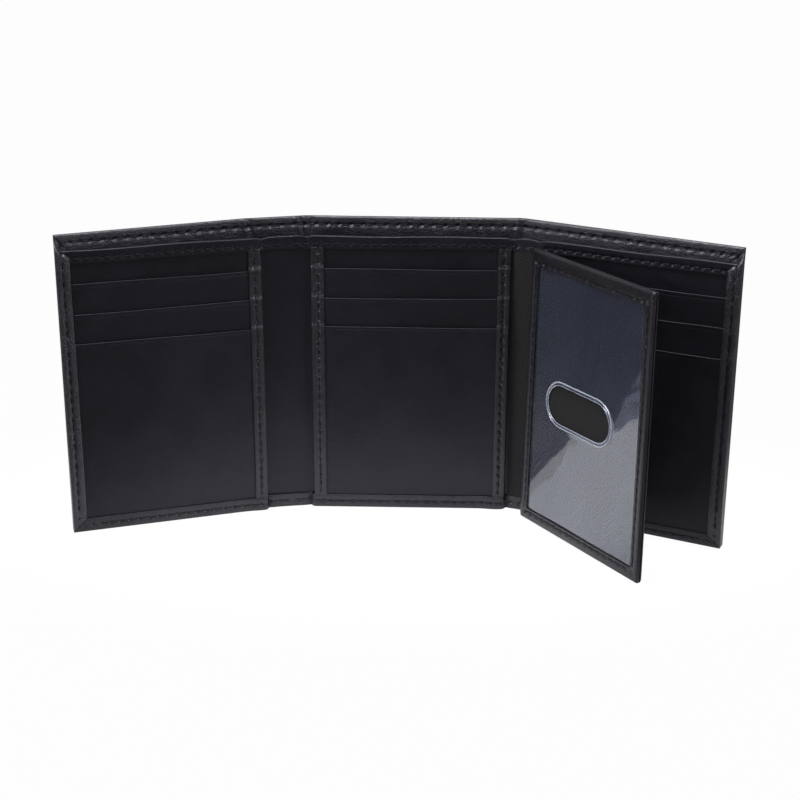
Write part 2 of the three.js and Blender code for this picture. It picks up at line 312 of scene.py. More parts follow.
def sheet_of(name, across, along, put, thickness, finish, relief=None, keep=None, flip=False, seams=(),
             soft_rim=0.1 * MM):
    """A sheet of leather or cloth as an object. across and along are its stations, which also give its
    flat map. put gives the place of its outer face, relief raises that face, and keep says which cells
    of the grid are there. Where a sheet goes on in another piece, seams names that station, and its rim
    there stays square."""
    mesh = bmesh.new()
    columns, rows = len(across) - 1, len(along) - 1
    bmesh.ops.create_grid(mesh, x_segments=columns, y_segments=rows, size=0.5)
    flat = mesh.loops.layers.uv.new("flat")
    cell = {v: (round((v.co.x + 0.5) * columns), round((v.co.y + 0.5) * rows)) for v in mesh.verts}
    for v, (i, j) in cell.items():
        v.co = put(across[i], along[j])
        for loop in v.link_loops:
            loop[flat].uv = (across[i], along[j])
    if keep:
        gone = []
        for face in mesh.faces:
            i = min(cell[v][0] for v in face.verts)
            j = min(cell[v][1] for v in face.verts)
            if not keep((across[i] + across[i + 1]) / 2, (along[j] + along[j + 1]) / 2):
                gone.append(face)
        bmesh.ops.delete(mesh, geom=gone, context="FACES")
        cell = {v: at for v, at in cell.items() if v.is_valid}
    if flip:
        bmesh.ops.reverse_faces(mesh, faces=mesh.faces[:])
    mesh.normal_update()
    if relief:
        for v, (i, j) in cell.items():
            v.co += v.normal * relief(across[i], along[j])
        mesh.normal_update()
    bmesh.ops.solidify(mesh, geom=mesh.faces[:], thickness=thickness)
    mesh.normal_update()
    ends = set()
    for v, (i, _) in cell.items():
        backs = behind(v, cell)
        for back in backs:
            through = back.co - v.co
            if through.length > MOST_THICKENED * thickness:
                back.co = v.co + through.normalized() * thickness
        if across[i] in seams:
            ends.update((v, *backs))
    if soft_rim:
        rims = [e for e in mesh.edges if len(e.link_faces) == 2 and e.calc_face_angle() > RIM_ANGLE
                and not ends.issuperset(e.verts)]
        soften(mesh, rims, soft_rim)
    return finished(mesh, name, finish)


def finished(mesh, name, finish):
    """A mesh as an object with its finish, shaded smooth except over sharp edges."""
    for face in mesh.faces:
        face.smooth = True
    for edge in mesh.edges:
        if len(edge.link_faces) == 2 and edge.calc_face_angle() > SHARP_ANGLE:
            edge.smooth = False
    data = bpy.data.meshes.new(name)
    mesh.to_mesh(data)
    mesh.free()
    data.materials.append(finish)
    piece = bpy.data.objects.new(name, data)
    scene.collection.objects.link(piece)
    return piece


def new_group(name, inputs, outputs):
    """An empty node group with its sockets, its input node and its output node."""
    group = bpy.data.node_groups.new(name, "ShaderNodeTree")
    for label, kind, value in inputs:
        socket = group.interface.new_socket(label, in_out="INPUT", socket_type=kind)
        if value is not None:
            socket.default_value = value
    for label, kind in outputs:
        group.interface.new_socket(label, in_out="OUTPUT", socket_type=kind)
    return group, group.nodes.new("NodeGroupInput"), group.nodes.new("NodeGroupOutput")


def noise_node(tree, vector, scale, detail=3.0, distortion=0.0):
    """Soft random clouds between 0 and 1."""
    node = tree.nodes.new("ShaderNodeTexNoise")
    node.inputs["Scale"].default_value = scale
    node.inputs["Detail"].default_value = detail
    node.inputs["Distortion"].default_value = distortion
    tree.links.new(vector, node.inputs["Vector"])
    return node.outputs["Fac"]


PORES_PER_METRE = 2600
CLOUDS_PER_METRE = 55
STREAKS_PER_METRE = 380
PEBBLE_BLEND = 0.6


def leather_grain():
    """Fine pebbled grain with pores, and soft clouds of tone where the hide took the dye unevenly."""
    group, source, sink = new_group(
        "leather_grain",
        [("Place", "NodeSocketVector", None), ("Pebbles per metre", "NodeSocketFloat", 1800.0),
         ("Softness", "NodeSocketFloat", 0.5)],
        [("Height", "NodeSocketFloat"), ("Cloud", "NodeSocketFloat"), ("Sheen", "NodeSocketFloat")],
    )
    spot = source.outputs["Place"]
    pebble = group.nodes.new("ShaderNodeTexVoronoi")
    pebble.feature = "SMOOTH_F1"
    pebble.inputs["Smoothness"].default_value = PEBBLE_BLEND
    group.links.new(spot, pebble.inputs["Vector"])
    group.links.new(source.outputs["Pebbles per metre"], pebble.inputs["Scale"])
    raised = math_node(group, "SUBTRACT", 1.0, pebble.outputs["Distance"])
    pores = noise_node(group, spot, PORES_PER_METRE, 2.0)
    height = math_node(group, "MULTIPLY_ADD", pores, source.outputs["Softness"], raised)
    group.links.new(height, sink.inputs["Height"])
    clouds = noise_node(group, spot, CLOUDS_PER_METRE, 4.0, 0.6)
    group.links.new(clouds, sink.inputs["Cloud"])
    streaks = noise_node(group, spot, STREAKS_PER_METRE)
    sheen = math_node(group, "MULTIPLY_ADD", streaks, 0.5, math_node(group, "MULTIPLY", clouds, 0.5))
    group.links.new(sheen, sink.inputs["Sheen"])
    return group


grain_group = leather_grain()


def spot_of(tree, flat):
    """Where a point is on its own piece: on its flat map, or on the object for a piece that has none."""
    if flat:
        node = tree.nodes.new("ShaderNodeUVMap")
        node.uv_map = "flat"
        return node.outputs["UV"]
    return tree.nodes.new("ShaderNodeTexCoord").outputs["Object"]


def mixed(tree, share, low, high):
    """A colour between two colours."""
    node = tree.nodes.new("ShaderNodeMix")
    node.data_type = "RGBA"
    tree.links.new(share, node.inputs["Factor"])
    for socket, colour in ((node.inputs[6], low), (node.inputs[7], high)):
        if isinstance(colour, tuple):
            socket.default_value = (*colour, 1)
        else:
            tree.links.new(colour, socket)
    return node.outputs[2]


def new_finish(name, plain):
    """A material with its node tree and its shader, whose plain values are set."""
    material = bpy.data.materials.new(name)
    material.use_nodes = True
    shader = material.node_tree.nodes["Principled BSDF"]
    for label, value in plain.items():
        shader.inputs[label].default_value = value
    return material, material.node_tree, shader


def give_relief(tree, shader, height, depth, labels=("Normal",)):
    """A bump of the given depth where the height is 1."""
    bump = tree.nodes.new("ShaderNodeBump")
    bump.inputs["Distance"].default_value = depth
    tree.links.new(height, bump.inputs["Height"])
    for label in labels:
        tree.links.new(bump.outputs["Normal"], shader.inputs[label])


LEATHER_TINT = (0.86, 0.83, 1.0, 1)
POLISH_ROUGHNESS = 0.22
GLOSS_DRIFT = 0.06
CLOUD_RANGE = (0.35, 0.65)
STREAK_RANGE = (0.3, 0.7)


def leather(name, dark, light, roughness, pebbles, depth, softness, specular, polish, flat=True):
    """Dyed leather: its tone and gloss drift in clouds, its grain is a bump, and polish is how much of a
    thin glossy finish it has."""
    material, tree, shader = new_finish(name, {
        "Specular IOR Level": specular,
        "Specular Tint": LEATHER_TINT,
        "Coat Weight": polish,
        "Coat Roughness": POLISH_ROUGHNESS,
    })
    grain = tree.nodes.new("ShaderNodeGroup")
    grain.node_tree = grain_group
    grain.inputs["Pebbles per metre"].default_value = pebbles
    grain.inputs["Softness"].default_value = softness
    tree.links.new(spot_of(tree, flat), grain.inputs["Place"])
    clouds = spread(tree, grain.outputs["Cloud"], *CLOUD_RANGE, 0, 1)
    tree.links.new(mixed(tree, clouds, dark, light), shader.inputs["Base Color"])
    gloss = spread(tree, grain.outputs["Sheen"], *STREAK_RANGE, roughness - GLOSS_DRIFT,
                   roughness + GLOSS_DRIFT)
    tree.links.new(gloss, shader.inputs["Roughness"])
    give_relief(tree, shader, grain.outputs["Height"], depth)
    return material


SMOOTH_DARK = (0.0042, 0.0038, 0.0055)
SMOOTH_LIGHT = (0.0066, 0.0060, 0.0084)
SMOOTH_FINISH = {"roughness": 0.44, "pebbles": 1900, "depth": 0.08 * MM, "softness": 0.6, "specular": 0.32,
                 "polish": 0.12}
smooth_leather = leather("smooth_leather", SMOOTH_DARK, SMOOTH_LIGHT, **SMOOTH_FINISH)

STACK_HEM = -1.0 * MM
SPINE_HEM = -0.65 * MM
LEVEL_REACH = 1.6 * MM
LEVEL_SOFT = 1.8 * MM


def between(s, on_spine, on_panel):
    """A level that changes at each crease from the panels' to the spines'."""
    side = -1 if s < 0 else 1
    outer, inner = creases[side][0][0], creases[side][1][0]
    past_inner = ease((abs(s) - inner + LEVEL_REACH) / LEVEL_SOFT)
    short_of_outer = ease((outer + LEVEL_REACH - abs(s)) / LEVEL_SOFT)
    return on_panel + (on_spine - on_panel) * (past_inner * short_of_outer)


def crease_mark(s, width):
    """1 at a crease, fading to 0 away from it."""
    side = -1 if s < 0 else 1
    return max(math.exp(-(((abs(s) - at) / width) ** 2)) for at, _ in creases[side])


SKIN = 0.5 * MM
FOLD_OVER = 1.1 * MM
FOLD_SOFT = 0.45 * MM
TOP_REACH = 9 * MM
TOP_DIP = 0.5 * MM
TOP_WAVE = 0.15 * MM
inner_rise = INNER_TOP - SEWN_IN
hem_start = inner_rise + FOLD_OVER
hem_end = hem_start + HEM
hem_seam = hem_start + HEM_SEAM
inner_rows = stations((0, inner_rise - 3 * MM, 3.2 * MM),
                      (inner_rise - 3 * MM, inner_rise + 1.6 * MM, 0.22 * MM),
                      (inner_rise + 1.6 * MM, hem_end, 0.35 * MM))


def inner_put(s, t):
    """The inner leather, from its foot up its back face, over the top and down the front of its hem."""
    hem_front = between(s, SPINE_HEM, STACK_HEM)
    line = [(SKIN, SEWN_IN), (SKIN, INNER_TOP), (hem_front, INNER_TOP), (hem_front, INNER_TOP - HEM)]
    y, z = follow([0, inner_rise, hem_start, hem_end], line, t, FOLD_SOFT)
    near_top = ease((z - INNER_TOP + TOP_REACH) / TOP_REACH)
    z -= TOP_DIP * crease_mark(s, 1.5 * MM) * near_top
    z += TOP_WAVE * math.sin(s / (7.3 * MM)) * near_top
    return place(s, y, z)


def hem_line(s):
    """The row of the hem that its stitches lie on."""
    return inner_put(s, hem_seam)


def inner_relief(s, t):
    """The hem's thread pulls its leather in."""
    return -seam_dent(t - hem_seam, s)


def towards_viewer(s):
    """The direction that the front of the flat wallet faces at a place along it."""
    return (place(s, -MM, 0) - place(s, 0, 0)).normalized()


left_middle = (left_outer + centre_half) / 2
right_middle = (right_outer + centre_half) / 2
spans = {
    "left_outer": (-left_end, -left_middle, -left_outer, "left_panel", "left_spine"),
    "left_inner": (-left_middle, 0, -centre_half, "left_spine", "centre_panel"),
    "right_inner": (0, right_middle, centre_half, "centre_panel", "right_spine"),
    "right_outer": (right_middle, right_end, right_outer, "right_spine", "right_panel"),
}


def bend_with(piece, span):
    """The piece's place is baked into its mesh; it is not made to bend at its span's crease."""
    _, _, at, first, second = spans[span]
    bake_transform(piece)


def inner_columns(span, step=0.43 * MM):
    """Stations along a span, short of the outer edge where it is sewn in, and those where it goes on."""
    low, high = max(spans[span][0], SEWN_IN - left_end), min(spans[span][1], right_end - SEWN_IN)
    return stations((low, high, step)), [x for x in (low, high) if abs(x) < left_outer]


inner_nodes = {
    "left_outer": ["left_inner_panel", "left_spine_inner_panel"],
    "left_inner": ["centre_inner_panel"],
    "right_inner": ["right_spine_inner_panel"],
    "right_outer": ["right_inner_panel"],
}
for span, nodes in inner_nodes.items():
    columns, seams = inner_columns(span)
    piece = sheet_of(f"inner_leather_{span}", columns, inner_rows, inner_put, SKIN, smooth_leather,
                     relief=inner_relief, flip=True, seams=seams)
    bend_with(piece, span)
    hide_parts(*nodes)

# Thread
# Black polyester thread in a lock stitch, sunk at both ends of each stitch where the needle went in.
# It is shown wherever a seam crosses the face of a piece.
THREAD_RADIUS = 0.2 * MM
THREAD_DARK = (0.0020, 0.0019, 0.0026)
THREAD_LIGHT = (0.0055, 0.0052, 0.0068)
TWISTS_PER_METRE = 900
TWIST_DEPTH = 0.05 * MM
STITCH_SHARE = 0.78
STITCH_OVERRUN = 1.06
HEM_SEAM_END = 4 * MM

thread_black, thread_tree, thread_shader = new_finish("thread", {
    "Roughness": 0.4,
    "Specular IOR Level": 0.3,
    "Specular Tint": (0.8, 0.78, 1.0, 1),
})
thread_twist = thread_tree.nodes.new("ShaderNodeTexWave")
thread_twist.bands_direction = "DIAGONAL"
thread_twist.inputs["Scale"].default_value = TWISTS_PER_METRE
thread_twist.inputs["Distortion"].default_value = 1.0
thread_tree.links.new(spot_of(thread_tree, False), thread_twist.inputs["Vector"])
thread_tone = mixed(thread_tree, thread_twist.outputs["Fac"], THREAD_DARK, THREAD_LIGHT)
thread_tree.links.new(thread_tone, thread_shader.inputs["Base Color"])
give_relief(thread_tree, thread_shader, thread_twist.outputs["Fac"], TWIST_DEPTH)


def stitches_along(line, outward, start, end, pitch=PITCH):
    """Stitches between the holes of a seam that runs from start to end, each as its two ends and its
    outward side."""
    half = pitch * STITCH_SHARE / 2
    middles = [(k + 0.5) * pitch for k in range(math.ceil(start / pitch), math.floor(end / pitch))]
    return [(line(run - half), line(run + half), outward(run)) for run in middles]


def thread_piece(name, stitches):
    """All the stitches of a seam as one object."""
    mesh = bmesh.new()
    for a, b, outward in stitches:
        along = (b - a) / 2
        across = along.cross(outward).normalized() * THREAD_RADIUS
        out = across.cross(along).normalized() * THREAD_RADIUS
        shape = Matrix((across, out, along * STITCH_OVERRUN)).transposed().to_4x4()
        bmesh.ops.create_uvsphere(mesh, u_segments=8, v_segments=6, radius=1,
                                  matrix=Matrix.Translation((a + b) / 2) @ shape)
    bmesh.ops.recalc_face_normals(mesh, faces=mesh.faces[:])
    piece = finished(mesh, name, thread_black)
    return piece


for span, (low, high, *_) in spans.items():
    low, high = max(low, HEM_SEAM_END - left_end), min(high, right_end - HEM_SEAM_END)
    sewn = thread_piece(f"hem_stitches_{span}", stitches_along(hem_line, towards_viewer, low, high))
    bend_with(sewn, span)

# Lining cloth
# Thin black plain-woven cloth is pasted to the back of the inner leather and to the inside of the cover.
# The first of the two is here, the second is under the cover, and both stop short of the turned edges.
CLOTH = 0.2 * MM
LINING_FACE = 0.85 * MM
LINING_STEP = 1.1 * MM
YARNS_TO_A_RIB = 3.0
FUZZ_PER_METRE = 3000


def weave(name, per_metre, rough):
    """Woven threads in slanted ribs, with a share of yarn and fuzz in their height."""
    group, source, sink = new_group(name, [("Place", "NodeSocketVector", None)],
                                    [("Height", "NodeSocketFloat"), ("Rib", "NodeSocketFloat")])

    def ridges(phase):
        return math_node(group, "MULTIPLY_ADD", math_node(group, "SINE", phase), 0.5, 0.5)

    split = group.nodes.new("ShaderNodeSeparateXYZ")
    group.links.new(source.outputs["Place"], split.inputs[0])
    warp = math_node(group, "MULTIPLY", split.outputs[0], per_metre * 2 * math.pi)
    weft = math_node(group, "MULTIPLY", split.outputs[1], per_metre * 2 * math.pi)
    rib = ridges(math_node(group, "ADD", warp, weft))
    yarn = ridges(math_node(group, "MULTIPLY", warp, YARNS_TO_A_RIB))
    fuzz = noise_node(group, source.outputs["Place"], FUZZ_PER_METRE, 2.0)
    height = math_node(group, "MULTIPLY_ADD", yarn, rough, rib)
    group.links.new(math_node(group, "MULTIPLY_ADD", fuzz, rough, height), sink.inputs["Height"])
    group.links.new(rib, sink.inputs["Rib"])
    return group


def cloth(name, group, dark, light, depth):
    """Matt cloth whose tone and relief follow its weave."""
    material, tree, shader = new_finish(name, {"Roughness": 0.65, "Specular IOR Level": 0.15})
    threads = tree.nodes.new("ShaderNodeGroup")
    threads.node_tree = group
    tree.links.new(spot_of(tree, True), threads.inputs["Place"])
    tree.links.new(mixed(tree, threads.outputs["Rib"], dark, light), shader.inputs["Base Color"])
    give_relief(tree, shader, threads.outputs["Height"], depth)
    return material


lining_black = cloth("lining_cloth", weave("plain_weave", 2500, 0.35), (0.005, 0.005, 0.006),
                     (0.010, 0.010, 0.012), 0.05 * MM)


def line_with_cloth(name, rows, put, nodes, flip=False):
    """One length of lining for each span, in place of the span's lining nodes."""
    for span, replaced in nodes.items():
        columns, seams = inner_columns(span, LINING_STEP)
        piece = sheet_of(f"{name}_{span}", columns, rows, put, CLOTH, lining_black, flip=flip, seams=seams,
                         soft_rim=0)
        bend_with(piece, span)
        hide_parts(*replaced)


line_with_cloth(
    "inner_lining", stations((SEWN_IN, INNER_TOP - MM, 4 * MM)), lambda s, z: place(s, LINING_FACE, z),
    {span: [node.replace("panel", "lining") for node in nodes] for span, nodes in inner_nodes.items()},
    flip=True)

# Card pockets
# Each panel has three leaves of thin leather, one before the other, with the open top edge of each turned
# under and creased with a warm tool. The cloth that makes the slots deep hangs behind them, out of sight.
LEAF_TOPS = [91 * MM, 80.5 * MM, 70 * MM]
LEAF_FRONTS = [-0.9 * MM, -1.45 * MM, -2.0 * MM]
LEAF_SKIN = 0.17 * MM
LEAF_DEPTH = 0.4 * MM
LEAF_UNDER = 6 * MM
LEAF_STRIP = 12 * MM
LEAF_FOOT = 1.3 * MM
LEAF_BOW = 0.3 * MM
LEAF_SAG = 0.12 * MM
MOUTH_REACH = 8 * MM
TOOL_LINE = 1.25 * MM
TOOL_DEPTH = 0.1 * MM
TOOL_WIDTH = 0.17 * MM
BOTTOM_SQUEEZE = 0.74
SQUEEZE_HEIGHT = 18 * MM
CREASE_GAP = MM
CENTRE_LEFT_GAP = 1.8 * MM
POCKET_SWELL = 0.22

stack_ends = {
    "left": (SEWN_IN - left_end, -left_outer - CREASE_GAP),
    "centre": (CENTRE_LEFT_GAP - centre_half, centre_half - CREASE_GAP),
    "right": (right_outer + CREASE_GAP, right_end - SEWN_IN),
}
pocket_leather = leather("pocket_leather", SMOOTH_DARK, SMOOTH_LIGHT, **SMOOTH_FINISH, flat=False)


def squeeze(z):
    """The stack is pressed thin where it is sewn along the bottom."""
    return BOTTOM_SQUEEZE + (1 - BOTTOM_SQUEEZE) * ease(z / SQUEEZE_HEIGHT)


def arch(share, power):
    """0 at both ends of a width and 1 in its middle, and fuller for a smaller power."""
    return math.sin(math.pi * min(max(share, 0), 1)) ** power


def swell(share, z):
    """How far the pockets stand out between their sewn sides, with the slow waves of soft leather."""
    rise = ease((z - 4 * MM) / (26 * MM))
    wave = 0.09 * math.sin(9 * share + z / (11 * MM)) + 0.06 * math.sin(17 * share - z / (7 * MM) + 1.3)
    return (POCKET_SWELL + wave) * MM * arch(share, 0.7) * rise


def leaf_put(ends, top, front, foot):
    """A leaf, from its foot up its front face, over its open edge and down behind it."""
    low, high = ends
    over = top - foot + LEAF_DEPTH

    def put(s, t):
        share = (s - low) / (high - low)
        line = [(0, foot), (0, top), (LEAF_DEPTH, top), (LEAF_DEPTH, top - LEAF_UNDER)]
        back, z = follow([0, top - foot, over, over + LEAF_UNDER], line, t, 0.2 * MM)
        near_mouth = ease((z - top + MOUTH_REACH) / MOUTH_REACH)
        y = front * squeeze(z) - swell(share, z) - LEAF_BOW * near_mouth * arch(share, 0.6) + back
        return place(s, y, z + LEAF_SAG * math.sin(5.1 * share + top * 900) * near_mouth)
    return put


def show_solid(node, finish):
    """A solid that is shown as it is gets its finish."""
    finishes = frame["nodes"][node].data.materials
    finishes.clear()
    finishes.append(finish)


for panel, ends in stack_ends.items():
    for word, top, front in zip(("upper", "middle", "front"), LEAF_TOPS, LEAF_FRONTS):
        foot = LEAF_FOOT if word == "front" else top - LEAF_STRIP
        rise = top - foot
        rows = stations((0, rise - 3 * MM, 1.6 * MM), (rise - 3 * MM, rise + 0.6 * MM, 0.16 * MM),
                        (rise + 0.6 * MM, rise + LEAF_DEPTH + LEAF_UNDER, 1.5 * MM))

        def tooled(s, t, rise=rise):
            return -TOOL_DEPTH * math.exp(-(((t - rise + TOOL_LINE) / TOOL_WIDTH) ** 2))

        piece = sheet_of(f"{panel}_{word}_pocket", stations((*ends, 1.2 * MM)), rows,
                         leaf_put(ends, top, front, foot), LEAF_SKIN, smooth_leather, relief=tooled,
                         soft_rim=0.05 * MM)
        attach(piece, f"{panel}_panel")
        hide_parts(f"{panel}_{word}_leaf")
    show_solid(f"{panel}_pocket_back", pocket_leather)
    for word in ("upper", "middle"):
        show_solid(f"{panel}_{word}_leaf_cloth", lining_black)

# Binding strips
# Narrow strips of the grained outer leather cover the leaves' cut edges beside the creases. Each is
# folded over the edge of the stack down to the inner leather and sewn through along its middle.
BINDING_WIDTH = 4.3 * MM
BINDING_SKIN = 0.4 * MM
BINDING_SEAM = 2.1 * MM
BORDER = 5 * MM
BORDER_PULL = 1.8
BINDING_CROWN = 0.14 * MM
HEM_FOOT = INNER_TOP - HEM
STACK_FRONT = -2.65 * MM
STEP_DOWN = 0.55 * MM
SIDE_FOOT = -0.1 * MM
WRAP = 0.3 * MM

GRAINED_DARK = (0.0060, 0.0055, 0.0072)
GRAINED_LIGHT = (0.0120, 0.0113, 0.0138)
grained_leather = leather("grained_leather", GRAINED_DARK, GRAINED_LIGHT, roughness=0.36, pebbles=2300,
                          depth=0.17 * MM, softness=0.8, specular=0.42, polish=0.35)


def strip_front(z):
    """The front of what is sewn over the leaves: it steps back above each leaf's open edge."""
    passed = sum(ease((z - top) / (1.5 * MM)) for top in LEAF_TOPS)
    return (STACK_FRONT + passed * STEP_DOWN) * squeeze(z)


bindings = {
    "left_binding": (-left_outer - CREASE_GAP, 1, "left_panel"),
    "centre_left_binding": (CENTRE_LEFT_GAP - centre_half, -1, "centre_panel"),
    "centre_right_binding": (centre_half - CREASE_GAP, 1, "centre_panel"),
    "right_binding": (right_outer + CREASE_GAP, -1, "right_panel"),
}
binding_face = BINDING_WIDTH + WRAP
binding_columns = stations((0, BINDING_WIDTH + 0.6 * MM, 0.27 * MM),
                           (BINDING_WIDTH + 0.6 * MM, BINDING_WIDTH + 2.6 * MM, 0.5 * MM))
binding_rows = stations((BORDER - 0.4 * MM, HEM_FOOT + 0.4 * MM, 0.5 * MM))


def binding_relief(a, z):
    """A strip is padded between its edges, puckered, and pulled in by its thread."""
    pucker = 0.05 * MM * math.sin(z / (1.7 * MM) + 3 * math.sin(z / (9 * MM)))
    return BINDING_CROWN * arch(a / binding_face, 0.6) + pucker - BORDER_PULL * seam_dent(a - BINDING_SEAM, z)


for name, (outer_edge, towards, body) in bindings.items():
    inner_edge = outer_edge - towards * BINDING_WIDTH

    def binding_put(a, z, inner_edge=inner_edge, outer_edge=outer_edge, towards=towards):
        front = strip_front(z)
        turn = outer_edge + towards * WRAP
        line = [(inner_edge, front), (turn, front), (turn, SIDE_FOOT)]
        s, y = follow([0, binding_face, binding_face + 2 * MM], line, a, 0.4 * MM)
        return place(s, y, z)

    def binding_line(z, put=binding_put):
        return put(BINDING_SEAM, z)

    piece = sheet_of(name + "_strip", binding_columns, binding_rows, binding_put, BINDING_SKIN,
                     grained_leather, relief=binding_relief, flip=towards < 0)
    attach(piece, body)
    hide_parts(name)
    facing = towards_viewer(outer_edge)
    sewn = thread_piece(name + "_stitches", stitches_along(binding_line, lambda z: facing, BORDER, HEM_FOOT))
    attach(sewn, body)

# Twill strip
# The narrow right spine is faced with a 10 mm tape of black twill, with both its edges turned under.
# It is caught under the hem at the top and under the cover's border at the bottom.
STRIP_FACE = -0.35 * MM
STRIP_SLACK = 0.12 * MM
twill_black = cloth("twill_cloth", weave("twill_weave", 880, 0.06), (0.0006, 0.0006, 0.0008),
                    (0.036, 0.034, 0.037), 0.15 * MM)
strip_columns = stations((centre_half + 0.3 * MM, right_outer - 0.3 * MM, 0.8 * MM))
strip_rows = stations((BORDER - 0.5 * MM, HEM_FOOT + 0.5 * MM, 3 * MM))


def strip_put(s, z):
    """The tape on the spine, a little slack between its edges."""
    across = math.sin(math.pi * (s - centre_half) / (right_outer - centre_half))
    return place(s, STRIP_FACE - STRIP_SLACK * across * math.sin(z / (13 * MM)), z)


piece = sheet_of("spine_twill", strip_columns, strip_rows, strip_put, CLOTH, twill_black, soft_rim=0)
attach(piece, "right_spine")
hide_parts("right_spine_twill")

# Page of card windows
# Two leather frames back to back hold a clear window on each face and a twill divider between them.
# Their outer edges are turned in and sewn together, and the page hangs from twill tape, so it leans a little.
PAGE_START = 0.05 * MM
PAGE_LENGTH = 64.6 * MM
PAGE_FOOT = MM
PAGE_HEAD = 101 * MM
FRAME_FACE = 1.15 * MM
FRAME_SKIN = 0.42 * MM
EDGE_ROLL = 0.95 * MM
FRAME_SIDE = 4 * MM
FRAME_FOOT = 4.5 * MM
FRAME_HEAD = 5.5 * MM
FRAME_SEAM = 1.2 * MM
FRAME_PULL = 1.6
FRAME_CROWN = 0.16 * MM
MITRE_DEPTH = 0.14 * MM
HINGE_SWING = (0.7, 1.9)
EDGE_SWING = (0.5, 1.1)
HINGE_STRETCH = (0.25, 0)
EDGE_STRETCH = (-0.4, 1.4)

page_hinge = crease_point("page_hinge")
page_turn = rest_fold("right_inner_crease") + rest_fold("right_outer_crease")
page_turn += math.radians(joints["page_hinge"]["range_deg"][1])
page_turned = Matrix.Rotation(-page_turn, 3, "Z")


def page_place(u, y, z):
    """From the flat page to its place: u goes out from the hinge and y back from its middle. The page
    swings forward and stretches by so many millimetres at its head, and by so many more at its foot."""
    low = 1 - z / PAGE_HEAD
    far = u / PAGE_LENGTH
    swing, stretch = (
        (at_hinge[0] + at_hinge[1] * low) * (1 - far) + (at_edge[0] + at_edge[1] * low) * far
        for at_hinge, at_edge in ((HINGE_SWING, EDGE_SWING), (HINGE_STRETCH, EDGE_STRETCH))
    )
    return page_hinge + page_turned @ Vector((u + stretch * MM, y - swing * MM, z))


page_low = Vector((PAGE_START + EDGE_ROLL, PAGE_FOOT + EDGE_ROLL))
page_high = Vector((PAGE_LENGTH - EDGE_ROLL, PAGE_HEAD - EDGE_ROLL))
ROLL_LENGTH = EDGE_ROLL * math.pi / 2
window_low = Vector((PAGE_START + FRAME_SIDE, PAGE_FOOT + FRAME_FOOT))
window_high = Vector((PAGE_LENGTH - FRAME_SIDE, PAGE_HEAD - FRAME_HEAD))


def frame_put(face):
    """A frame's outer face: flat inside, and rolled in round the outline, with small round corners."""
    def put(u, z):
        past_u = min(u - page_low.x, 0) + max(u - page_high.x, 0)
        past_z = min(z - page_low.y, 0) + max(z - page_high.y, 0)
        past = max(abs(past_u), abs(past_z))
        way = Vector((past_u, past_z)).normalized() * EDGE_ROLL * math.sin(past / EDGE_ROLL)
        dip = EDGE_ROLL * (1 - math.cos(past / EDGE_ROLL))
        return page_place(u - past_u + way.x, face * (FRAME_FACE - dip), z - past_z + way.y)
    return put


def from_outline(u, z):
    """Distance in from the page's outline."""
    return min(u - PAGE_START, PAGE_LENGTH - u, z - PAGE_FOOT, PAGE_HEAD - z)


def from_window(u, z):
    """How far out from the window's edges a point is: sideways, and up or down."""
    return (max(window_low.x - u, u - window_high.x), max(window_low.y - z, z - window_high.y))


def frame_relief(u, z):
    """The frame's leather is padded between its edges, pulled in at its seam and cut at its mitres."""
    sideways, upward = from_window(u, z)
    mitre = MITRE_DEPTH * math.exp(-(((sideways - upward) / (0.4 * MM)) ** 2))
    away, run = (sideways, z) if sideways > upward else (upward, u)
    crown = FRAME_CROWN * arch(from_outline(u, z) / FRAME_SIDE, 0.7)
    return crown - mitre - FRAME_PULL * seam_dent(away - FRAME_SEAM, run)


def in_frame(u, z):
    """Whether a place on the page is leather and not window."""
    return not (window_low.x < u < window_high.x and window_low.y < z < window_high.y)


def frame_stations(low, hole_low, hole_high, high):
    """Close steps round the rolled edge, and wider ones across the frame and past its window."""
    return stations((low - ROLL_LENGTH, low, 0.25 * MM), (low, hole_low, 0.42 * MM),
                    (hole_low, hole_high, 0.6 * MM), (hole_high, high, 0.42 * MM),
                    (high, high + ROLL_LENGTH, 0.25 * MM))


frame_columns = frame_stations(page_low.x, window_low.x, window_high.x, page_high.x)
frame_rows = frame_stations(page_low.y, window_low.y, window_high.y, page_high.y)
page_out = page_turned @ Vector((0, -1, 0))


def frame_seams(face):
    """The stitches round a frame, along its four sides."""
    low_u, high_u = window_low.x - FRAME_SEAM, window_high.x + FRAME_SEAM
    low_z, high_z = window_low.y - FRAME_SEAM, window_high.y + FRAME_SEAM

    def on_face(u, z):
        return page_place(u, face * FRAME_FACE, z)

    found = []
    for u in (low_u, high_u):
        found += stitches_along(lambda z: on_face(u, z), lambda z: page_out, low_z, high_z)
    for z in (low_z, high_z):
        found += stitches_along(lambda u: on_face(u, z), lambda u: page_out, low_u, high_u)
    return found


def on_page(piece):
    """The page carries the piece, which gets a mesh of its own."""
    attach(piece, "window_page")
    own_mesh(piece)


for side_name, face in (("front", -1), ("back", 1)):
    piece = sheet_of(f"page_{side_name}_frame", frame_columns, frame_rows, frame_put(face), FRAME_SKIN,
                     grained_leather, relief=frame_relief, keep=in_frame, flip=face > 0)
    on_page(piece)
    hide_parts(f"flap_{side_name}_frame")
    on_page(thread_piece(f"page_{side_name}_stitches", frame_seams(face)))

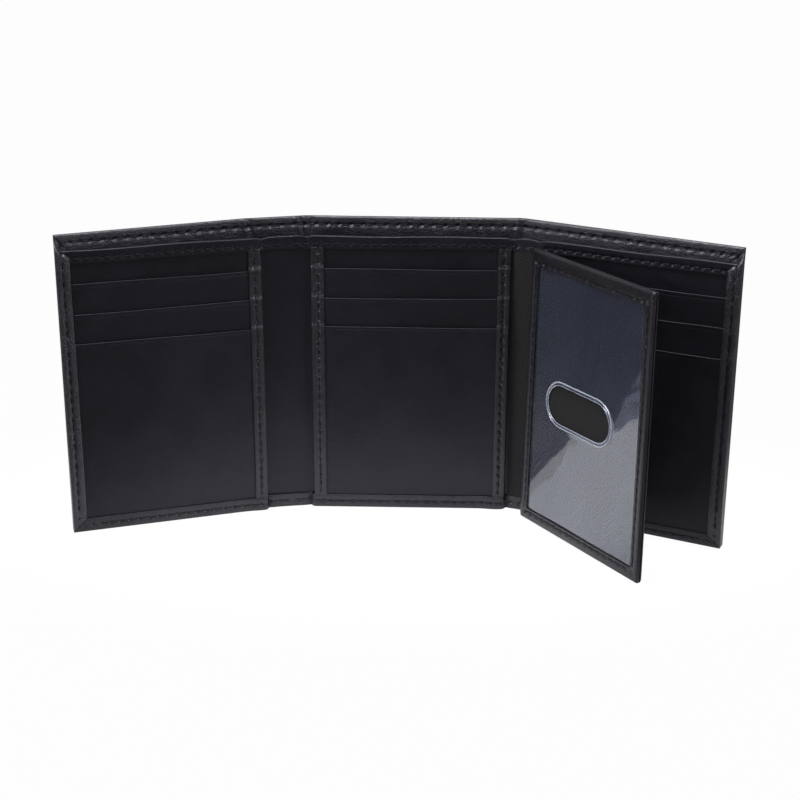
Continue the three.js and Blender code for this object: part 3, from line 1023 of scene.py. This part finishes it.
# Card windows
# Each is a sheet of clear soft vinyl with a slight blue haze. A thumb slot with round ends is cut in it,
# and the film round the slot is welded into a raised rim. It isn't quite flat, so what it mirrors is wavy.
SLOT_CENTRE = Vector((29.4, 49.7)) * MM
SLOT_REACH = 9.5 * MM
SLOT_RADIUS = 6.9 * MM
FILM = 0.22 * MM
FILM_FACE = 0.58 * MM
FILM_TUCK = 2.4 * MM
FILM_ROUGHNESS = (0.03, 0.07)
FILM_IOR = 1.5
SURFACE_ROUGHNESS = 0.04
SURFACE_IOR = 1.45
FILM_STREAKS = 110
FILM_WAVES = 50
DISH_MIDDLE = 36 * MM
WAVE_DEPTH = 0.2 * MM
TINY = 1e-9
RAYS = 144


def vinyl(name, haze, clear, dish):
    """Clear soft vinyl: a little of its light is scattered as haze, and it hangs in a shallow uneven dish."""
    material, tree, shader = new_finish(name, {
        "Base Color": (*haze, 1),
        "Transmission Weight": clear,
        "IOR": FILM_IOR,
        "Coat Weight": 1.0,
        "Coat Roughness": SURFACE_ROUGHNESS,
        "Coat IOR": SURFACE_IOR,
    })
    spot = spot_of(tree, True)
    streaks = noise_node(tree, spot, FILM_STREAKS, 1.0, 0.8)
    tree.links.new(spread(tree, streaks, *STREAK_RANGE, *FILM_ROUGHNESS), shader.inputs["Roughness"])
    split = tree.nodes.new("ShaderNodeSeparateXYZ")
    tree.links.new(spot, split.inputs[0])
    off = math_node(tree, "ADD", split.outputs[0], -DISH_MIDDLE)
    bowl = math_node(tree, "MULTIPLY", math_node(tree, "MULTIPLY", off, off), dish)
    waves = math_node(tree, "MULTIPLY", noise_node(tree, spot, FILM_WAVES, 1.0, 0.4), WAVE_DEPTH)
    give_relief(tree, shader, math_node(tree, "ADD", bowl, waves), 1.0, ("Normal", "Coat Normal"))
    return material


film_clear = vinyl("clear_film", (0.70, 0.76, 0.98), clear=0.98, dish=0.25)
film_rim = vinyl("welded_rim", (0.74, 0.80, 0.95), clear=0.72, dish=0)


def slot_distance(angle, radius):
    """How far a ray from the middle of the slot runs to an outline with two straight sides and round ends."""
    across, up = abs(math.cos(angle)), abs(math.sin(angle))
    if up * SLOT_REACH <= radius * across or up < TINY:
        return SLOT_REACH * across + math.sqrt(max(radius ** 2 - (SLOT_REACH * up) ** 2, 0))
    return radius / up


def pane_distance(angle):
    """How far the same ray runs to the edge of the pane."""
    low, high = window_low - Vector((FILM_TUCK,) * 2), window_high + Vector((FILM_TUCK,) * 2)
    across, up = math.cos(angle), math.sin(angle)
    side = ((high.x if across > 0 else low.x) - SLOT_CENTRE.x) / across if abs(across) > TINY else 1
    end = ((high.y if up > 0 else low.y) - SLOT_CENTRE.y) / up if abs(up) > TINY else 1
    return min(side, end)


RIM_RINGS = [0, 0.1, 0.2, 0.32, 0.45, 0.6, 0.8, 0.95, 1.1, 1.25, 1.4, 1.6, 1.85]
WELDED_RINGS = (1, 2, 3, 8, 9, 10, 11)
PANE_RINGS = 26
SETTLED_RING = 20
RIM_BEADS = [(0.2, 0.2, 0.3), (1.25, 0.26, 0.38)]


def film_radius(angle, ring):
    """How far from the middle of the slot a ring of the film is, through the rim and then out to the edge."""
    if ring < len(RIM_RINGS):
        return slot_distance(angle, SLOT_RADIUS + RIM_RINGS[ring] * MM)
    inner = slot_distance(angle, SLOT_RADIUS + RIM_RINGS[-1] * MM)
    share = (ring - len(RIM_RINGS) + 1) / PANE_RINGS
    return inner + (pane_distance(angle) - inner) * share


def rim_height(ring):
    """Two beads, one at the cut edge and one outside it, each with its place, width and height."""
    if ring >= len(RIM_RINGS):
        return 0
    out = RIM_RINGS[ring]
    return sum(height * math.exp(-(((out - at) / width) ** 2)) for at, width, height in RIM_BEADS) * MM


def film_wave(u, z):
    """The film's own unevenness, in slow waves that cross."""
    bent = math.sin(u / (5.5 * MM) + 1.1 * math.sin(z / (19 * MM)))
    wave = 0.05 * bent * math.sin(z / (15 * MM) + u / (26 * MM))
    return (wave + 0.02 * math.sin(u / (3.4 * MM) - z / (8 * MM))) * MM


for side_name, face in (("front", -1), ("back", 1)):
    mesh = bmesh.new()
    bmesh.ops.create_circle(mesh, cap_ends=False, segments=RAYS, radius=1)
    edge_ring = mesh.edges[:]
    for ring in range(1, len(RIM_RINGS) + PANE_RINGS):
        grown = bmesh.ops.extrude_edge_only(mesh, edges=edge_ring)["geom"]
        for v in (g for g in grown if isinstance(g, bmesh.types.BMVert)):
            v.co *= (ring + 1) / ring
        edge_ring = [g for g in grown if isinstance(g, bmesh.types.BMEdge) and len(g.link_faces) == 1]
    flat = mesh.loops.layers.uv.new("flat")
    placed, rings = {}, {}
    for v in mesh.verts:
        ring, angle = round(v.co.length) - 1, math.atan2(v.co.y, v.co.x)
        reach = film_radius(angle, ring)
        u, z = SLOT_CENTRE.x + reach * math.cos(angle), SLOT_CENTRE.y + reach * math.sin(angle)
        placed[v], rings[v] = (u, z), ring
        depth = FILM_FACE + rim_height(ring) + film_wave(u, z) * min(1, ring / SETTLED_RING)
        v.co = page_place(u, face * depth, z)
    for v, spot in placed.items():
        for loop in v.link_loops:
            loop[flat].uv = spot
    mesh.normal_update()
    outward = page_out * (-face)
    if sum(f.normal.dot(outward) for f in mesh.faces) < 0:
        bmesh.ops.reverse_faces(mesh, faces=mesh.faces[:])
        mesh.normal_update()
    for made in mesh.faces:
        ring = max(rings[v] for v in made.verts)
        if ring in WELDED_RINGS:
            made.material_index = 1
    bmesh.ops.solidify(mesh, geom=mesh.faces[:], thickness=FILM)
    piece = finished(mesh, f"page_{side_name}_film", film_clear)
    piece.data.materials.append(film_rim)
    on_page(piece)
    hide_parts(f"flap_{side_name}_window")

# Twill divider and hinge tape
# The divider stands between the two windows and shows through them. The tape is sewn to the right panel
# beside its pockets, and bends where the page turns.
TWILL_STEP = 3 * MM
DIVIDER_FACE = -0.1 * MM
divider_columns = stations((PAGE_START + 5 * MM, PAGE_LENGTH - 1.2 * MM, TWILL_STEP))
divider_rows = stations((PAGE_FOOT + 1.2 * MM, PAGE_HEAD - 1.2 * MM, TWILL_STEP))
piece = sheet_of("page_divider", divider_columns, divider_rows, lambda u, z: page_place(u, DIVIDER_FACE, z),
                 CLOTH, twill_black, soft_rim=0)
on_page(piece)
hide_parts("flap_twill_divider")

TAPE_IN = 4 * MM
TAPE_END = TAPE_IN + 0.8 * MM
TAPE_FACE = 0.4 * MM
TAPE_LEAN = 1.7 * MM
tape_foot = place(right_outer + 0.5 * MM, -0.15 * MM, 0)
tape_out = (page_hinge - tape_foot).length
tape_columns = stations((0, tape_out + TAPE_END, 0.4 * MM))
tape_rows = stations((BORDER + 1.5 * MM, HEM_FOOT + 0.5 * MM, TWILL_STEP))


def tape_put(a, z):
    """The tape, from the right panel round the page's hinge and into the page."""
    lean = page_out * TAPE_LEAN * (1 - z / PAGE_HEAD)
    turn = page_place(PAGE_START + 0.2 * MM, TAPE_FACE, z) - lean
    tucked = page_place(PAGE_START + TAPE_IN, TAPE_FACE, z) - lean
    line = [tuple(point.xy) for point in (tape_foot, turn, tucked)]
    x, y = follow([0, tape_out, tape_out + TAPE_END], line, a, 0.7 * MM)
    return Vector((x, y, z))


piece = sheet_of("hinge_tape", tape_columns, tape_rows, tape_put, CLOTH, twill_black, soft_rim=0)
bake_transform(piece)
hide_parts("flap_hinge_tape")

# Cover
# The outside is one length of grained leather. Its top edge is turned to the inside, and its bottom and
# side edges are turned to the front over the edges of everything else, mitred at the corners and sewn
# through.
cover_leather = leather("cover_leather", GRAINED_DARK, GRAINED_LIGHT, roughness=0.36, pebbles=2100,
                        depth=0.2 * MM, softness=0.8, specular=0.75, polish=0.5)
COVER_FACE = 2.4 * MM
COVER_SKIN = 0.5 * MM
COVER_UNDER = 5 * MM
COVER_SOFT = 0.6 * MM
TOP_FOLD = 1.4 * MM
TOP_BAND = 9 * MM
SIDE_BORDER = 4.5 * MM
SIDE_SEAM = 2.2 * MM
EDGE_WRAP = 4 * MM
SEAM_TOP = 6 * MM
COVER_SEAM = 2.6 * MM
COVER_SEAM_END = 5 * MM
BAND_SEAM = 3 * MM
BAND_PITCH = 4.1 * MM
BAND_PULL = 2.0
BAND_CROWN = 0.3 * MM
BAND_WAVE = 0.05 * MM
BORDER_CROWN = 0.15 * MM
MITRE_REACH = 12 * MM
TOP_MITRE = 5.5 * MM
SWELL_REACH = 12 * MM
SIDE_SWELLING = 0.35
LOW_SWELLING = {-1: 0.75, 1: 0.4}
FOOT_REACH = 9 * MM
FOOT_LIFT = 0.9 * MM
LIFT_START = 22 * MM
LIFT_REACH = 18 * MM
FOOT_SWELLING = 0.7 * MM
FOOT_SWELLING_WIDTH = 4 * MM

# Each wrinkle has its place along the band, its slant, its width and its rise, in millimetres.
BAND_WRINKLES = [(-58.6, 0.1, 0.7, 0.4), (-56.6, 0.1, 0.8, -0.3), (-40.2, 0.25, 0.6, 0.35),
                 (-38.6, 0.2, 0.6, -0.4), (-36.7, 0.1, 0.8, 0.45), (-34.3, -0.2, 0.7, -0.2),
                 (38.6, -0.2, 0.8, 0.35), (40.6, -0.1, 0.8, -0.3)]

MOUTH_SOFT = 1.3 * MM
GAPE_FULLNESS = 1.8
mouth_marks = [-left_end, -58.5 * MM, -36.5 * MM, 39.5 * MM, right_end]
mouth_points = [place(-left_end, COVER_FACE, 0).xy, Vector((-58.4, 2.5)) * MM, Vector((-36.9, 8.2)) * MM,
                Vector((39.8, 6.9)) * MM, place(right_end, COVER_FACE, 0).xy]


def drift(s):
    """How far the cover's mouth stands from where it would lie closed."""
    return (follow(mouth_marks, mouth_points, s, MOUTH_SOFT) - place(s, COVER_FACE, 0).xy).to_3d()


drifts = {}


def cover_place(s, y, z):
    """As place, with the cover and its lining standing off from the inner leather above the bottom seam."""
    gape = 1 - (1 - min(max((z - SEAM_TOP) / (HEIGHT - SEAM_TOP), 0), 1)) ** GAPE_FULLNESS
    if s not in drifts:
        drifts[s] = drift(s)
    return place(s, y, z) + drifts[s] * gape * ease((y + 0.2 * MM) / MM)


band_face = COVER_FACE - TOP_FOLD
border_end = BORDER
under_end = border_end + COVER_UNDER
back_end = under_end + HEIGHT
fold_end = back_end + TOP_FOLD
band_end = fold_end + TOP_BAND
cover_marks = [0, border_end, under_end, back_end, fold_end, band_end]
back_low = under_end + 5.2 * MM
back_high = back_end - 5.6 * MM
cover_rows = stations((0, border_end, 0.36 * MM), (border_end, under_end, 0.5 * MM),
                      (under_end, back_low, 0.4 * MM), (back_low, back_high, 2.4 * MM),
                      (back_high, back_end, 0.4 * MM), (back_end, fold_end, 0.23 * MM),
                      (fold_end, band_end, 0.4 * MM))


def end_of(a):
    """How far the wallet runs from its middle on the side that a is on."""
    return left_end if a < 0 else right_end


def side_front(z):
    """The front of the side border, which drops back to the cover's band above the inner leather."""
    over = ease((z - INNER_TOP - 0.2 * MM) / (3.6 * MM))
    front = min(strip_front(z), -1.65 * MM * squeeze(z))
    return front + (band_face - front) * over


def squeezed(value, limit):
    """Draws the last stretch before an outer end in to a limit, so that it ends on the mitre."""
    return value + limit * max(1 - value / MITRE_REACH, 0)


def cover_put(a, t):
    """The cover, from the edge of its bottom border under the foot, up the back and down the top band.
    Beyond an outer end it goes round into the side border. The sides swell out, more so lower down, and
    the foot is lifted a little on the right and swells forward at two places."""
    side = -1 if a < 0 else 1
    end = end_of(a)
    along = abs(a)
    front = between(a, SPINE_HEM, STACK_FRONT * squeeze(3 * MM)) + 0.3 * MM * crease_mark(a, 0.7 * MM)
    line = [(front, BORDER), (front, 0), (COVER_FACE, 0), (COVER_FACE, HEIGHT), (band_face, HEIGHT),
            (band_face, HEIGHT - TOP_BAND)]
    y, z = follow(cover_marks, line, t, COVER_SOFT)
    if under_end <= t <= back_end and along > end - 2 * MM:
        turned = side_front(z)
        s, y = follow([0, end, end + EDGE_WRAP, end + EDGE_WRAP + SIDE_BORDER],
                      [(0, y), (end, y), (end, turned), (end - SIDE_BORDER, turned)], along, COVER_SOFT)
        inward = max(along - end - EDGE_WRAP, 0)
        if inward > 0:
            z = squeezed(z, inward * BORDER / SIDE_BORDER)
            z = HEIGHT - squeezed(HEIGHT - z, inward * TOP_MITRE / SIDE_BORDER)
    else:
        cut = 0
        if t < border_end:
            cut = z * SIDE_BORDER / BORDER
        elif t > fold_end:
            cut = min((HEIGHT - z) * SIDE_BORDER / TOP_MITRE, SIDE_BORDER)
        s = end - squeezed(end - along, cut)
    low = 1 - z / HEIGHT
    s += (SIDE_SWELLING + LOW_SWELLING[side] * low) * MM * ease((s - end + SWELL_REACH) / SWELL_REACH)
    foot = ease(1 - z / FOOT_REACH)
    if a > 0:
        z += FOOT_LIFT * foot * ease((s - centre_half - LIFT_START) / LIFT_REACH)
    for at in (-left_outer - 2.5 * MM, centre_half - 4 * MM):
        y -= FOOT_SWELLING * math.exp(-(((side * s - at) / FOOT_SWELLING_WIDTH) ** 2)) * foot * (y < 0)
    return cover_place(side * s, y, z)


def band_wrinkle(a, into):
    """Slanted wrinkles across the band where the cover's mouth turns, and a slow wave in its leather."""
    height = BAND_WAVE * math.sin(a / (2.9 * MM) + into / (1.9 * MM)) * math.sin(a / (17 * MM))
    for at, lean, width, rise in BAND_WRINKLES:
        height += rise * MM * math.exp(-(((a - at * MM - lean * into) / (width * MM)) ** 2))
    return height


def in_cover(a, t):
    """Whether a place on the cover's flat map is leather, as its four corners are cut away."""
    return abs(a) < end_of(a) or under_end < t < back_end


def cover_relief(a, t):
    """The cover's turned borders and band are padded, and thread pulls it in along its seams."""
    past = abs(a) - end_of(a)
    if fold_end < t:
        into = t - fold_end
        seam = BAND_PULL * seam_dent(into - BAND_SEAM, a, BAND_PITCH)
        return BAND_CROWN * arch(into / TOP_BAND, 0.6) + band_wrinkle(a, into) - seam
    if t < border_end:
        return BORDER_CROWN * arch(t / BORDER, 0.6) - BORDER_PULL * seam_dent(BORDER - t - COVER_SEAM, a)
    if not under_end < t < back_end:
        return 0
    z = t - under_end
    if past < 0:
        level = seam_dent(z - COVER_SEAM, a) + seam_dent(HEIGHT - z - BAND_SEAM, a, BAND_PITCH)
        return -level - seam_dent(-past - COVER_SEAM, z)
    inward = past - EDGE_WRAP
    if inward <= 0:
        return 0
    return BORDER_CROWN * arch(inward / SIDE_BORDER, 0.6) - BORDER_PULL * seam_dent(inward - SIDE_SEAM, z)


def cover_columns(span):
    """Stations along a span, round the end of the wallet where it has one, and those where it goes on."""
    low, high = spans[span][:2]
    wrap = EDGE_WRAP + SIDE_BORDER
    stretches = [(low, high, 0.45 * MM)]
    if low == -left_end:
        stretches = [(low - wrap, low - EDGE_WRAP, 0.36 * MM), (low - EDGE_WRAP, low, 0.4 * MM)] + stretches
    if high == right_end:
        stretches += [(high, high + EDGE_WRAP, 0.4 * MM), (high + EDGE_WRAP, high + wrap, 0.36 * MM)]
    return stations(*stretches), [x for x in (low, high) if abs(x) < left_outer]


cover_nodes = {
    "left_outer": ["left_cover", "left_spine_cover"],
    "left_inner": ["centre_cover"],
    "right_inner": ["right_spine_cover"],
    "right_outer": ["right_cover"],
}
for span, nodes in cover_nodes.items():
    columns, seams = cover_columns(span)
    piece = sheet_of(f"cover_{span}", columns, cover_rows, cover_put, COVER_SKIN, cover_leather,
                     relief=cover_relief, keep=in_cover, flip=True, seams=seams)
    piece.data.materials.append(grained_leather)
    flat = piece.data.uv_layers["flat"].data
    for made in piece.data.polygons:
        if flat[made.loop_start].uv.y < border_end:
            made.material_index = 1
    bend_with(piece, span)
    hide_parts(*nodes)


def cover_seam(span, t, lift, pitch=PITCH, back=False):
    """Stitches along the wallet on one span of the cover, at a row of its flat map, in front or behind."""
    low, high = spans[span][:2]
    low, high = max(low, COVER_SEAM_END - left_end), min(high, right_end - COVER_SEAM_END)
    way = -1 if back else 1

    def outward(a):
        return towards_viewer(a) * way

    def line(a):
        return cover_put(a, t) + outward(a) * lift
    return stitches_along(line, outward, low, high, pitch)


BORDER_LIFT = 0.05 * MM
BAND_LIFT = 0.08 * MM


def border_seam(side, end):
    """Stitches up a side border."""
    a = side * (end + EDGE_WRAP + SIDE_SEAM)
    way = towards_viewer(side * end)
    return stitches_along(lambda z: cover_put(a, under_end + z) + way * BORDER_LIFT, lambda z: way,
                          COVER_SEAM_END, HEIGHT - COVER_SEAM_END)


for span in spans:
    sewn = cover_seam(span, fold_end + BAND_SEAM, BAND_LIFT, BAND_PITCH)
    sewn += cover_seam(span, back_end - BAND_SEAM, 0, BAND_PITCH, back=True)
    sewn += cover_seam(span, BORDER - COVER_SEAM, BORDER_LIFT)
    sewn += cover_seam(span, under_end + COVER_SEAM, 0, back=True)
    if span == "left_outer":
        sewn += border_seam(-1, left_end)
    elif span == "right_outer":
        sewn += border_seam(1, right_end)
    bend_with(thread_piece(f"cover_stitches_{span}", sewn), span)

# Cover lining
# The same lining cloth is pasted to the inside of the cover up to its turned top band.
COVER_LINING = 1.4 * MM
line_with_cloth(
    "cover_lining", stations((SEWN_IN, HEIGHT - TOP_BAND - 0.3 * MM, 3 * MM)),
    lambda s, z: cover_place(s, COVER_LINING, z),
    {span: [node + "_lining" for node in nodes] for span, nodes in cover_nodes.items()})
